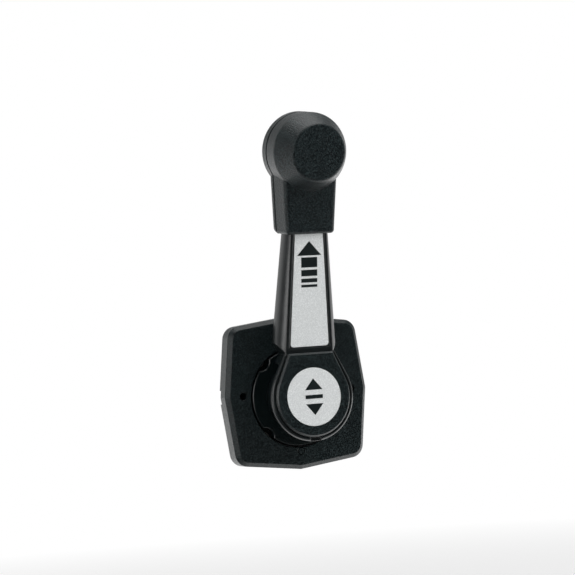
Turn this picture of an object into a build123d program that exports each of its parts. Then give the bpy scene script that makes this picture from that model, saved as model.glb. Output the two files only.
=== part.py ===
from build123d import *
import os
from math import acos, cos, hypot, pi, radians, sin, sqrt, tan

# Side-mount boat throttle and shift control: a panel-mounted escutcheon, a lever leaning out
# from the panel, and the geared mechanism that passes through the panel behind it.
# Millimetres. X runs to the right, Y into the panel and Z up. The panel face is Y = 0.
# A height over the panel stands at Y = -height.
os.makedirs("parts", exist_ok=True)

# ---------------------------------------------------------------- driving dimensions
# Panel mounting
mount_circle_r = 39.0  # radius of the four panel screw holes
mount_hole_r = 2.6
gasket_thickness = 1.0
base_thickness = 3.2
pivot_z = -3.0  # the lever's axis lies a little under the hole centre

# Trim cover: a moulded square with slightly pointed sides
cover_side_half = 51.1  # centre to the point in the middle of a side
cover_corner_half = 45.5  # centre to the sharp corner, along X and along Z
cover_corner_r = 9.0
cover_point_r = 3.0
cover_height = 12.4
cover_bevel = 2.8
cover_wall = 2.4
cover_boss_r = 4.6
notch_height = 9.0  # pry notch in the left side
notch_depth = 2.0

# Bearing flange in the cover's round opening
flange_r = 32.3
flange_gap = 1.4
flange_thickness = 5.2
pocket_r = 6.2
pocket_circle_r = 35.4
ear_thickness = 3.0
ear_r = 6.4
sleeve_r = 18.0
sleeve_front = 30.0  # height of the sleeve's front end over the panel
flange_screw_r = 2.0
flange_screw_head_r = 3.6
flange_screw_head = 2.2

# Shafts, gears and their case
shaft_r = 6.0
shaft_square = 8.4
shift_shaft_r = 4.0
pressure_angle = 25.0
drive_teeth = 12
shift_teeth = 24
sector_half_teeth = 4
gear_width = 7.0
backlash = 0.16
case_r = 31.5
case_wall = 2.8
case_clearance = 0.2  # inside the case, over the shift gear's hub
case_depth = 34.0  # panel face to the rear cover's seat
rear_cover_thickness = 3.2
case_screw_r = 1.5
case_column_r = 3.2
case_column_circle = 25.4
case_column_angle = 40.0
bush_wall = 2.0
bush_flange = 1.2
detent_wheel_r = 14.0
detent_width = 6.0
detent_ball_r = 2.6
notch_step = 32.0  # degrees from neutral to the in-gear notches

# Cable arms
arm_plate = 4.0
throttle_arm_length = 34.0
shift_arm_length = 24.0
arm_end_r = 5.0
swivel_pin_r = 3.0
swivel_barrel_r = 5.0
swivel_barrel_length = 11.0
cable_hole_r = 2.5

# Lever
lean = 8.5  # degrees that the arm leans out from the panel
lean_root = 32.4  # height of the arm's front plane over the panel, at the pivot
hub_r = 29.1
hub_rim = 3.8
hub_front = 37.6
hub_round = 1.8
collar_r = 22.5
hub_web = 3.6
hub_recess_r = 12.0
hub_bolt_r = 3.0
hub_washer_thickness = 1.0
arm_half_low = 16.4
arm_half_high = 11.7
arm_low = 31.0
arm_high = 126.0
arm_depth_low = 12.0
arm_depth_high = 8.2
flare_low = 5.9
flare_high = 2.6
arm_wall = 2.6
arm_edge_round = 1.0
label_half_low = 13.6
label_half_high = 9.6
label_low = 33.4
label_high = 111.5
label_thickness = 0.7
label_gap = 0.9
cover_plate_r = 26.3
cover_plate_top = 29.0
cover_plate_half_top = 15.8
cover_plate_thickness = 1.5
cover_plate_bevel = 1.2
cover_seam = 0.7
cover_seam_depth = 0.9
pry_slot = 7.6
pry_slot_high = 2.2
pry_slot_depth = 1.6
emblem_r = 19.1
emblem_thickness = 0.8
emblem_recess = 0.9

# Grip: a round knob with a neck that sleeves the top of the arm
knob_centre = 160.8
knob_r = 25.8
knob_flat_r = 18.3
knob_flat = 17.4
knob_wall_front = 2.9
knob_back = 18.0  # behind the arm's front plane
knob_parting = 9.5
knob_back_round = 2.4
knob_flat_round = 2.4
knob_shoulder_round = 4.0
neck_low = 107.4
neck_front = 3.9
neck_half_low = 16.6
neck_half_high = 19.0
neck_top = 150.0
neck_blend_r = 3.0
neck_foot_r = 4.0
neck_edge_round = 3.2
neck_end_round = 2.2
seam_width = 0.7
seam_depth = 0.6
neck_back = 15.4
neck_flare = 2.4
grip_wall = 2.6
neck_wall = 1.4
grip_screw_r = 1.5
grip_screw_head_r = 2.7
grip_screw_head = 1.8
screw_column_r = 3.4
grip_screw_places = [(0, 149.0), (-11.0, 170.0), (11.0, 170.0)]

# Lock rod and its spring
rod_r = 2.0
rod_depth = 6.0  # behind the arm's front plane, at the middle of the rod
rod_low = 18.9
rod_high = 141.0
rod_collar_r = 3.2
rod_collar = 3.0
rod_pin_r = 1.0
clamp_half = 6.0
clamp_low = 130.0
spring_wire_r = 0.35
spring_turns = 7
spring_length = 22.0

# Clearances and fits
running = 0.05
parting_gap = 0.3
slip = 0.1
touch = 0.02

# ---------------------------------------------------------------- derived places
base_front = gasket_thickness + base_thickness
ear_front = base_front + ear_thickness
flange_front = ear_front + flange_thickness
opening_r = flange_r + flange_gap
case_inner_r = case_r - case_wall
# The gears fill the case: the shift shaft stands as far out as its gear's hub allows.
gear_centre = case_inner_r - case_clearance - shift_shaft_r - bush_wall
gear_module = 2 * gear_centre / (drive_teeth + shift_teeth)
shift_z = pivot_z + gear_centre
floor_y = case_wall - gasket_thickness
gear_y = floor_y + 3.0
detent_y = gear_y + gear_width + 3.0
cover_seat_y = case_depth
cover_rear_y = cover_seat_y + rear_cover_thickness
cable_arm_y = cover_rear_y + bush_flange + parting_gap + 0.5
arm_slope_half = (arm_half_low - arm_half_high) / (arm_high - arm_low)
web_front = sleeve_front + parting_gap + hub_web
hub_back = hub_front - hub_rim
lean_cos = cos(radians(lean))
lean_sin = sin(radians(lean))


def at_height(height, z=0.0):
    """A plane parallel to the panel, at a height over it, looking at the viewer."""
    return Plane(origin=(0, -height, z), x_dir=(1, 0, 0), z_dir=(0, -1, 0))


def lean_plane(height=0.0, along=0.0):
    """A plane parallel to the arm's front: X across, local Y up the arm, at a height over it."""
    centre = (
        0,
        -lean_root - along * lean_sin - height * lean_cos,
        pivot_z + along * lean_cos - height * lean_sin,
    )
    return Plane(origin=centre, x_dir=(1, 0, 0), z_dir=(0, -lean_cos, -lean_sin))


def arm_section(along):
    """A plane across the arm at a distance up from the pivot: local Y is the depth to the back."""
    centre = (0, -lean_root - along * lean_sin, pivot_z + along * lean_cos)
    return Plane(origin=centre, x_dir=(1, 0, 0), z_dir=(0, -lean_sin, lean_cos))


def arm_half(along):
    """Half the arm's front width at a distance up from the pivot."""
    return arm_half_low - arm_slope_half * (along - arm_low)


def between(low, high, along):
    """A size that runs evenly from the arm's low end to its high end."""
    return low + (high - low) * (along - arm_low) / (arm_high - arm_low)


def finish(piece, label):
    """Names a piece and writes it."""
    piece.part.label = label
    export_step(piece.part, f"parts/{label}.step")


def cover_outline(inset):
    """The cover's outline: a square whose sides come to a slight point, corners rounded."""
    side = cover_side_half - inset
    corner = cover_corner_half - inset
    points = [
        (side, 0), (corner, corner), (0, side), (-corner, corner),
        (-side, 0), (-corner, -corner), (0, -side), (corner, -corner),
    ]
    with BuildSketch() as outline:
        with BuildLine():
            Polyline(*points, close=True)
        make_face()
        corners = outline.vertices().filter_by(lambda v: abs(abs(v.X) - abs(v.Y)) < corner / 9)
        fillet(corners, cover_corner_r - inset * 0.8)
        tips = outline.vertices().filter_by(lambda v: min(abs(v.X), abs(v.Y)) < touch)
        fillet(tips, cover_point_r)
    return outline.sketch


# ---------------------------------------------------------------- panel side
# Gasket: seals the mounting base to the panel, round the case's cut-out.
base_inset = cover_wall + slip
with BuildPart() as panel_gasket:
    with BuildSketch(at_height(0)):
        add(cover_outline(base_inset + 0.6))
        with Locations((0, pivot_z)):
            Circle(case_r + parting_gap, mode=Mode.SUBTRACT)
        with PolarLocations(mount_circle_r, 4):
            Circle(mount_hole_r, mode=Mode.SUBTRACT)
    extrude(amount=gasket_thickness)
finish(panel_gasket, "panel_gasket")

# Mounting base: the die-cast plate that carries everything on the panel.
with BuildPart() as mounting_base:
    with BuildSketch(at_height(gasket_thickness)):
        add(cover_outline(base_inset))
        with Locations((0, pivot_z)):
            Circle(sleeve_r + slip, mode=Mode.SUBTRACT)
        with PolarLocations(mount_circle_r, 4):
            Circle(mount_hole_r, mode=Mode.SUBTRACT)
        with Locations((0, pivot_z)):
            with PolarLocations(pocket_circle_r, 4, start_angle=45):
                Circle(flange_screw_r, mode=Mode.SUBTRACT)
            for side in (case_column_angle, -case_column_angle):
                with PolarLocations(case_column_circle, 2, start_angle=side):
                    Circle(case_screw_r, mode=Mode.SUBTRACT)
    extrude(amount=base_thickness)
finish(mounting_base, "mounting_base")

# Trim cover: hollow, bevelled all round, with a round opening and four screw bosses.
with BuildPart() as trim_cover:
    with BuildSketch(at_height(0)):
        add(cover_outline(0))
    extrude(amount=cover_height)
    chamfer(trim_cover.faces().sort_by(Axis.Y)[0].edges(), length=cover_bevel)
    with BuildSketch(at_height(0)):
        add(cover_outline(cover_wall))
    extrude(amount=cover_height - cover_wall, mode=Mode.SUBTRACT)
    with BuildSketch(at_height(base_front)):
        with PolarLocations(mount_circle_r, 4):
            Circle(cover_boss_r)
    extrude(amount=cover_height - base_front)
    with BuildSketch(at_height(0)):
        with Locations((0, pivot_z)):
            Circle(opening_r)
        with PolarLocations(mount_circle_r, 4):
            Circle(mount_hole_r)
    extrude(amount=cover_height, mode=Mode.SUBTRACT)
    with BuildSketch(at_height(0)):
        with Locations((-cover_side_half, 0)):
            Rectangle(2 * cover_wall, notch_height)
    extrude(amount=notch_depth, mode=Mode.SUBTRACT)
finish(trim_cover, "trim_cover")

# Bearing flange: the round face in the opening, its screw ears under the cover, the sleeve
# that the lever turns round, and the lock notch at the sleeve's front end.
lock_notch_half = rod_r + 0.5
with BuildPart() as bearing_flange:
    with BuildSketch(at_height(base_front)):
        with Locations((0, pivot_z)):
            Circle(flange_r - 2)
            with PolarLocations(pocket_circle_r, 4, start_angle=45):
                Circle(ear_r)
    extrude(amount=ear_thickness)
    with BuildSketch(at_height(ear_front)):
        with Locations((0, pivot_z)):
            Circle(flange_r)
            with PolarLocations(pocket_circle_r, 4, start_angle=45):
                Circle(pocket_r, mode=Mode.SUBTRACT)
    extrude(amount=flange_thickness)
    chamfer(bearing_flange.faces().sort_by(Axis.Y)[0].edges(), length=0.6)
    with BuildSketch(at_height(-floor_y)):
        with Locations((0, pivot_z)):
            Circle(sleeve_r)
    extrude(amount=sleeve_front + floor_y)
    with BuildSketch(at_height(-floor_y)):
        with Locations((0, pivot_z)):
            Circle(shaft_r + bush_wall)
    extrude(amount=sleeve_front + floor_y, mode=Mode.SUBTRACT)
    with BuildSketch(at_height(ear_front)):
        with Locations((0, pivot_z)):
            with PolarLocations(pocket_circle_r, 4, start_angle=45):
                Circle(flange_screw_r)
    extrude(amount=-ear_thickness, mode=Mode.SUBTRACT)
    with BuildSketch(at_height(sleeve_front)):
        with Locations((0, pivot_z + sleeve_r)):
            Rectangle(2 * lock_notch_half, 8)
    extrude(amount=-6, mode=Mode.SUBTRACT)
finish(bearing_flange, "bearing_flange")

# Flange screws: pan heads seated on the ears, at the bottom of the half-round pockets.
with BuildPart() as flange_screws:
    with BuildSketch(at_height(ear_front)):
        with Locations((0, pivot_z)):
            with PolarLocations(pocket_circle_r, 4, start_angle=45):
                Circle(flange_screw_head_r)
    extrude(amount=flange_screw_head)
    fillet(flange_screws.faces().group_by(Axis.Y)[0].edges(), 0.8)
    with BuildSketch(at_height(ear_front)):
        with Locations((0, pivot_z)):
            with PolarLocations(pocket_circle_r, 4, start_angle=45):
                Circle(flange_screw_r)
    extrude(amount=gasket_thickness - ear_front)
finish(flange_screws, "flange_screws")


def bush(label, bore_r, z, seat_y, length, collar_to_rear):
    """A bronze bush: its sleeve starts at seat_y and runs to the front or the rear."""
    way = 1 if collar_to_rear else -1
    with BuildPart() as bush_part:
        with BuildSketch(at_height(-seat_y, z)):
            Circle(bore_r + bush_wall)
            Circle(bore_r + running, mode=Mode.SUBTRACT)
        extrude(amount=way * length)
        with BuildSketch(at_height(-seat_y, z)):
            Circle(bore_r + 1.6 * bush_wall)
            Circle(bore_r + running, mode=Mode.SUBTRACT)
        extrude(amount=-way * bush_flange)
    finish(bush_part, label)


# The front bush lines the sleeve and its collar is the gear's thrust face.
bush("front_bush", shaft_r, pivot_z, floor_y, 22.0, True)
bush("rear_bush", shaft_r, pivot_z, cover_rear_y, rear_cover_thickness, True)
bush("shift_rear_bush", shift_shaft_r, shift_z, cover_rear_y, rear_cover_thickness, True)

# ---------------------------------------------------------------- gear case
with BuildPart() as gear_case:
    with BuildSketch(at_height(gasket_thickness)):
        with Locations((0, pivot_z)):
            Circle(case_r)
    extrude(amount=-(gasket_thickness + case_depth))
    with BuildSketch(at_height(-floor_y)):
        with Locations((0, pivot_z)):
            Circle(case_inner_r)
    extrude(amount=floor_y - case_depth, mode=Mode.SUBTRACT)
    with BuildSketch(at_height(-floor_y)):
        with Locations((0, pivot_z)):
            for side in (case_column_angle, -case_column_angle):
                with PolarLocations(case_column_circle, 2, start_angle=side):
                    Circle(case_column_r)
        with Locations((0, shift_z)):
            Circle(shift_shaft_r + 1.6)
    extrude(amount=-2.4)
    with BuildSketch(at_height(-floor_y)):
        with Locations((0, pivot_z)):
            for side in (case_column_angle, -case_column_angle):
                with PolarLocations(case_column_circle, 2, start_angle=side):
                    Circle(case_column_r)
    extrude(amount=floor_y - case_depth)
    with BuildSketch(at_height(gasket_thickness)):
        with Locations((0, pivot_z)):
            Circle(sleeve_r)
            for side in (case_column_angle, -case_column_angle):
                with PolarLocations(case_column_circle, 2, start_angle=side):
                    Circle(case_screw_r)
    extrude(amount=-(gasket_thickness + case_depth), mode=Mode.SUBTRACT)
    with BuildSketch(at_height(-floor_y + 1.0)):
        with Locations((0, shift_z)):
            Circle(shift_shaft_r + running)
    extrude(amount=-4, mode=Mode.SUBTRACT)
    # Detent boss: a thick pad on the wall, bored for the ball, its spring and its plug.
    with BuildSketch(Plane.XY.offset(pivot_z - case_r)):
        with Locations((0, detent_y + detent_width / 2)):
            Circle(detent_ball_r + 2.4)
    extrude(amount=case_r - detent_wheel_r - 4.0)
    with BuildSketch(Plane.XY.offset(pivot_z - case_r - 1)):
        with Locations((0, detent_y + detent_width / 2)):
            Circle(detent_ball_r + slip)
    extrude(amount=case_r - detent_wheel_r + 1, mode=Mode.SUBTRACT)
    # Friction boss on the right-hand wall.
    with BuildSketch(Plane.YZ.offset(detent_wheel_r + 6.0)):
        with Locations((detent_y + detent_width / 2, pivot_z)):
            Circle(5.2)
    extrude(amount=case_r - detent_wheel_r - 6.4)
    with BuildSketch(Plane.YZ.offset(detent_wheel_r)):
        with Locations((detent_y + detent_width / 2, pivot_z)):
            Circle(3.0)
    extrude(amount=case_r - detent_wheel_r + 1, mode=Mode.SUBTRACT)
finish(gear_case, "gear_case")

with BuildPart() as rear_cover:
    with BuildSketch(at_height(-cover_rear_y)):
        with Locations((0, pivot_z)):
            Circle(case_r)
            Circle(shaft_r + bush_wall, mode=Mode.SUBTRACT)
            for side in (case_column_angle, -case_column_angle):
                with PolarLocations(case_column_circle, 2, start_angle=side):
                    Circle(case_screw_r, mode=Mode.SUBTRACT)
        with Locations((0, shift_z)):
            Circle(shift_shaft_r + bush_wall, mode=Mode.SUBTRACT)
    extrude(amount=rear_cover_thickness)
finish(rear_cover, "rear_cover")

# Case screws run from the rear cover through the columns into the mounting base.
with BuildPart() as case_screws:
    with BuildSketch(at_height(-cover_rear_y)):
        with Locations((0, pivot_z)):
            for side in (case_column_angle, -case_column_angle):
                with PolarLocations(case_column_circle, 2, start_angle=side):
                    Circle(case_screw_r)
    extrude(amount=cover_rear_y + base_front - 0.4)
    with BuildSketch(at_height(-cover_rear_y)):
        with Locations((0, pivot_z)):
            for side in (case_column_angle, -case_column_angle):
                with PolarLocations(case_column_circle, 2, start_angle=side):
                    Circle(2 * case_screw_r)
    extrude(amount=-2.0)
finish(case_screws, "case_screws")


# ---------------------------------------------------------------- gears and shafts
def involute(angle):
    return tan(angle) - angle


def tooth_outline(teeth):
    """One involute tooth that points along +X, rooted inside its gear's root circle."""
    pitch_r = gear_module * teeth / 2
    base_r = pitch_r * cos(radians(pressure_angle))
    tip_r = pitch_r + gear_module
    root_r = pitch_r - 1.25 * gear_module
    half_at_pitch = pi / (2 * teeth) - backlash / (4 * pitch_r)
    base_half = half_at_pitch + involute(radians(pressure_angle))
    steps = [max(base_r, root_r) + (tip_r - max(base_r, root_r)) * i / 3 for i in range(4)]
    angles = [base_half - involute(acos(min(1, base_r / r))) for r in steps]
    upper = [(r * cos(a), r * sin(a)) for r, a in zip(steps, angles)]
    lower = [(x, -y) for x, y in upper]
    foot_r = 0.94 * root_r
    foot = (foot_r * cos(angles[0]), foot_r * sin(angles[0]))
    with BuildSketch() as tooth:
        with BuildLine():
            Line(foot, upper[0])
            Spline(*upper)
            ThreePointArc(upper[-1], (tip_r, 0), lower[-1])
            Spline(*lower)
            Line(lower[0], (foot[0], -foot[1]))
            Line((foot[0], -foot[1]), foot)
        make_face()
    return tooth.sketch


drive_root_r = gear_module * (drive_teeth / 2 - 1.25)
shift_root_r = gear_module * (shift_teeth / 2 - 1.25)

# Drive gear: keyed on the main shaft, a tooth straight up at neutral.
with BuildPart() as drive_gear:
    with BuildSketch(at_height(-gear_y, pivot_z)):
        Circle(drive_root_r + touch)
        with PolarLocations(0, drive_teeth, start_angle=90):
            add(tooth_outline(drive_teeth))
        Rectangle(shaft_square, shaft_square, mode=Mode.SUBTRACT)
    extrude(amount=-gear_width)
finish(drive_gear, "drive_gear")

# Shift gear: a toothed sector, a gap straight down at neutral.
shift_pitch = 360 / shift_teeth
sector_half = shift_pitch * sector_half_teeth + 2
sector_reach = shift_root_r * 2
with BuildPart() as shift_gear:
    with BuildSketch(at_height(-gear_y, shift_z)):
        Circle(shift_root_r + touch)
        with BuildLine():
            Polyline(
                (0, 0),
                (sector_reach * sin(radians(sector_half)), -sector_reach * cos(radians(sector_half))),
                (0, -2 * sector_reach),
                (-sector_reach * sin(radians(sector_half)), -sector_reach * cos(radians(sector_half))),
                close=True,
            )
        make_face(mode=Mode.INTERSECT)
        Circle(shift_shaft_r + bush_wall)
        for side in range(-sector_half_teeth, sector_half_teeth):
            with PolarLocations(0, 1, start_angle=-90 + shift_pitch * (side + 0.5)):
                add(tooth_outline(shift_teeth))
        Rectangle(shaft_square * 2 / 3, shaft_square * 2 / 3, mode=Mode.SUBTRACT)
    extrude(amount=-gear_width)
finish(shift_gear, "shift_gear")

# Main shaft: square where the gear, the detent wheel, the lever and the throttle arm sit.
main_rear_y = cable_arm_y + arm_plate
square_r = shaft_square / 2 - running
with BuildPart() as main_shaft:
    with BuildSketch(at_height(-(gear_y - parting_gap), pivot_z)):
        Circle(shaft_r)
    extrude(amount=gear_y - parting_gap + sleeve_front + parting_gap)
    with BuildSketch(at_height(sleeve_front + parting_gap, pivot_z)):
        Rectangle(2 * square_r, 2 * square_r)
    extrude(amount=hub_web - parting_gap)
    with BuildSketch(at_height(-(gear_y - parting_gap), pivot_z)):
        Rectangle(2 * square_r, 2 * square_r)
    extrude(amount=-(cover_seat_y - gear_y))
    with BuildSketch(at_height(-(cover_seat_y - 1.0), pivot_z)):
        Circle(shaft_r)
    extrude(amount=-(cable_arm_y - cover_seat_y + 1.0))
    with BuildSketch(at_height(-cable_arm_y, pivot_z)):
        Rectangle(2 * square_r, 2 * square_r)
    extrude(amount=-arm_plate)
    with BuildSketch(at_height(-main_rear_y, pivot_z)):
        Circle(3.0)
    extrude(amount=-6.0)
    with BuildSketch(at_height(web_front, pivot_z)):
        Circle(3.0)
    extrude(amount=-16.0, mode=Mode.SUBTRACT)
finish(main_shaft, "main_shaft")

with BuildPart() as shift_shaft:
    with BuildSketch(at_height(-(floor_y - 0.7), shift_z)):
        Circle(shift_shaft_r)
    extrude(amount=-(gear_y - parting_gap - floor_y + 0.7))
    with BuildSketch(at_height(-(gear_y - parting_gap), shift_z)):
        Rectangle(shaft_square * 2 / 3 - 2 * running, shaft_square * 2 / 3 - 2 * running)
    extrude(amount=-(gear_width + 2 * parting_gap))
    with BuildSketch(at_height(-(gear_y + gear_width + parting_gap), shift_z)):
        Circle(shift_shaft_r)
    extrude(amount=-(cable_arm_y - gear_y - gear_width - parting_gap))
    with BuildSketch(at_height(-cable_arm_y, shift_z)):
        Rectangle(shaft_square * 2 / 3 - 2 * running, shaft_square * 2 / 3 - 2 * running)
    extrude(amount=-arm_plate)
    with BuildSketch(at_height(-main_rear_y, shift_z)):
        Circle(2.0)
    extrude(amount=-5.0)
finish(shift_shaft, "shift_shaft")

# Detent wheel: three round notches, at neutral and at the two in-gear angles.
with BuildPart() as detent_wheel:
    with BuildSketch(at_height(-detent_y, pivot_z)):
        Circle(detent_wheel_r)
        for angle in (-notch_step, 0, notch_step):
            with PolarLocations(detent_wheel_r + 0.9, 1, start_angle=-90 + angle):
                Circle(detent_ball_r + 0.4, mode=Mode.SUBTRACT)
        Rectangle(shaft_square, shaft_square, mode=Mode.SUBTRACT)
    extrude(amount=-detent_width)
finish(detent_wheel, "detent_wheel")

detent_mid_y = detent_y + detent_width / 2
ball_z = pivot_z - detent_wheel_r - parting_gap - detent_ball_r
with BuildPart() as detent_ball:
    with Locations((0, detent_mid_y, ball_z)):
        Sphere(detent_ball_r)
finish(detent_ball, "detent_ball")

with BuildPart() as detent_plug:
    with BuildSketch(Plane.XY.offset(pivot_z - case_r)):
        with Locations((0, detent_mid_y)):
            Circle(detent_ball_r + slip)
            RegularPolygon(1.5, 6, mode=Mode.SUBTRACT)
    extrude(amount=3.0)
finish(detent_plug, "detent_plug")


def coil(label, foot, axis, radius, wire, turns, length):
    """A round-wire compression spring that stands at its foot, along its axis."""
    with BuildPart() as spring:
        with BuildLine() as path:
            Helix(length / turns, length, radius, center=foot, direction=axis)
        with BuildSketch(Plane(path.wire() @ 0, z_dir=path.wire() % 0)):
            RegularPolygon(wire, 6)
        sweep(path=path.wire(), is_frenet=True)
    finish(spring, label)


detent_spring_low = pivot_z - case_r + 3.0 + 0.5
detent_spring_length = ball_z - detent_ball_r - detent_spring_low - 0.5
coil(
    "detent_spring",
    (0, detent_mid_y, detent_spring_low),
    (0, 0, 1),
    detent_ball_r - 0.8, 0.4, 4, detent_spring_length,
)

# Friction screw: presses its pad towards the wheel's rim to hold the set throttle.
with BuildPart() as friction_pad:
    with BuildSketch(Plane.YZ.offset(detent_wheel_r + parting_gap)):
        with Locations((detent_mid_y, pivot_z)):
            Circle(3.0 - slip)
    extrude(amount=4.0)
finish(friction_pad, "friction_pad")

with BuildPart() as friction_screw:
    with BuildSketch(Plane.YZ.offset(detent_wheel_r + parting_gap + 4.0)):
        with Locations((detent_mid_y, pivot_z)):
            Circle(3.0 - slip)
    extrude(amount=case_r - detent_wheel_r - 4.0)
finish(friction_screw, "friction_screw")


# ---------------------------------------------------------------- cable arms
def cable_arm(label, z, length, square):
    """A flat arm, square-holed on its shaft, with a round hole for its cable swivel."""
    hub = square * 0.5 + 4.4
    way = 1 if length > 0 else -1
    reach = abs(length)
    slant = (hub - arm_end_r) / reach
    straight = sqrt(1 - slant * slant)
    with BuildPart() as arm_part:
        with BuildSketch(at_height(-cable_arm_y, z)):
            Circle(hub)
            with Locations((0, length)):
                Circle(arm_end_r)
            with BuildLine():
                Polyline(
                    (hub * straight, way * hub * slant),
                    (arm_end_r * straight, length + way * arm_end_r * slant),
                    (-arm_end_r * straight, length + way * arm_end_r * slant),
                    (-hub * straight, way * hub * slant),
                    close=True,
                )
            make_face()
            Rectangle(square, square, mode=Mode.SUBTRACT)
            with Locations((0, length)):
                Circle(swivel_pin_r + running, mode=Mode.SUBTRACT)
        extrude(amount=-arm_plate)
    finish(arm_part, label)


def arm_nut(label, z, thread_r):
    """A hexagon nut that holds a cable arm on its shaft."""
    with BuildPart() as nut:
        with BuildSketch(at_height(-main_rear_y, z)):
            RegularPolygon(1.9 * thread_r, 6)
            Circle(thread_r, mode=Mode.SUBTRACT)
        extrude(amount=-1.6 * thread_r)
    finish(nut, label)


def cable_swivel(label, z):
    """A swivel whose pin turns in the arm and whose barrel is bored for the cable's end rod."""
    barrel_y = main_rear_y + parting_gap + swivel_barrel_r
    with BuildPart() as swivel:
        with BuildSketch(at_height(-(cable_arm_y - 1.6), z)):
            Circle(swivel_pin_r)
        extrude(amount=-(arm_plate + 1.6 + parting_gap + swivel_barrel_r))
        with BuildSketch(at_height(-(main_rear_y + parting_gap), z)):
            Circle(swivel_barrel_r)
        extrude(amount=-2 * swivel_barrel_r)
        with BuildSketch(Plane.YZ.offset(-swivel_barrel_length / 2)):
            with Locations((barrel_y, z)):
                Circle(cable_hole_r)
        extrude(amount=swivel_barrel_length, mode=Mode.SUBTRACT)
    finish(swivel, label)


def swivel_clip(label, z):
    """A retaining ring on the swivel's pin, in front of the arm."""
    with BuildPart() as clip:
        with BuildSketch(at_height(-(cable_arm_y - parting_gap), z)):
            Circle(swivel_pin_r + 1.4)
            Circle(swivel_pin_r, mode=Mode.SUBTRACT)
        extrude(amount=0.8)
    finish(clip, label)


throttle_end_z = pivot_z - throttle_arm_length
shift_end_z = shift_z + shift_arm_length
cable_arm("throttle_arm", pivot_z, -throttle_arm_length, shaft_square)
cable_arm("shift_arm", shift_z, shift_arm_length, shaft_square * 2 / 3)
arm_nut("throttle_arm_nut", pivot_z, 3.0)
arm_nut("shift_arm_nut", shift_z, 2.0)
cable_swivel("throttle_swivel", throttle_end_z)
cable_swivel("shift_swivel", shift_end_z)
swivel_clip("throttle_clip", throttle_end_z)
swivel_clip("shift_clip", shift_end_z)


# ---------------------------------------------------------------- lever
def keyhole(radius, half_top, top):
    """A disc with straight flanks that run up to a flat top."""
    reach = hypot(half_top, top)
    turn = acos(radius / reach)
    base = pi / 2 - acos(top / reach)
    touch_angle = base - turn
    touch_point = (radius * cos(touch_angle), radius * sin(touch_angle))
    with BuildSketch() as outline:
        Circle(radius)
        with BuildLine():
            Polyline(
                touch_point, (half_top, top), (-half_top, top),
                (-touch_point[0], touch_point[1]), close=True,
            )
        make_face()
    return outline.sketch


def arm_profile(along, inset=0.0):
    """The arm's section: a flat front, flanks that swell out to the back, and a flat back."""
    half = arm_half(along) - inset
    flare = between(flare_low, flare_high, along)
    depth = between(arm_depth_low, arm_depth_high, along)
    start = inset
    middle = (half + 0.8 * flare, start + 0.45 * (depth - start))
    end = (half + flare, depth + (slip if inset else 0))
    with BuildSketch(arm_section(along)) as profile:
        with BuildLine():
            Line((-half, start), (half, start))
            ThreePointArc((half, start), middle, end)
            Line(end, (-end[0], end[1]))
            ThreePointArc((-end[0], end[1]), (-middle[0], middle[1]), (-half, start))
        make_face()
        if inset == 0:
            fillet(profile.vertices().group_by(Axis.Y)[0], arm_edge_round)
    return profile.sketch


# Hub disc: the rounded rim that frames the hub cover.
with BuildPart() as hub_disc:
    with BuildSketch(at_height(hub_back, pivot_z)):
        add(keyhole(hub_r, arm_half_low + 1.6, arm_low - 2))
    extrude(amount=hub_rim)
    fillet(hub_disc.faces().sort_by(Axis.Y)[0].edges(), hub_round)
    # Seam round the hub cover, and the slot below where it is prised off.
    with BuildSketch(at_height(hub_front, pivot_z)):
        add(keyhole(
            cover_plate_r + cover_seam, cover_plate_half_top + cover_seam, cover_plate_top + cover_seam
        ))
        add(keyhole(cover_plate_r, cover_plate_half_top, cover_plate_top), mode=Mode.SUBTRACT)
    extrude(amount=-cover_seam_depth, mode=Mode.SUBTRACT)
    with BuildSketch(at_height(hub_front, pivot_z - cover_plate_r)):
        with Locations((0, -pry_slot_high / 2)):
            Rectangle(pry_slot, pry_slot_high)
    extrude(amount=-pry_slot_depth, mode=Mode.SUBTRACT)

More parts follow.
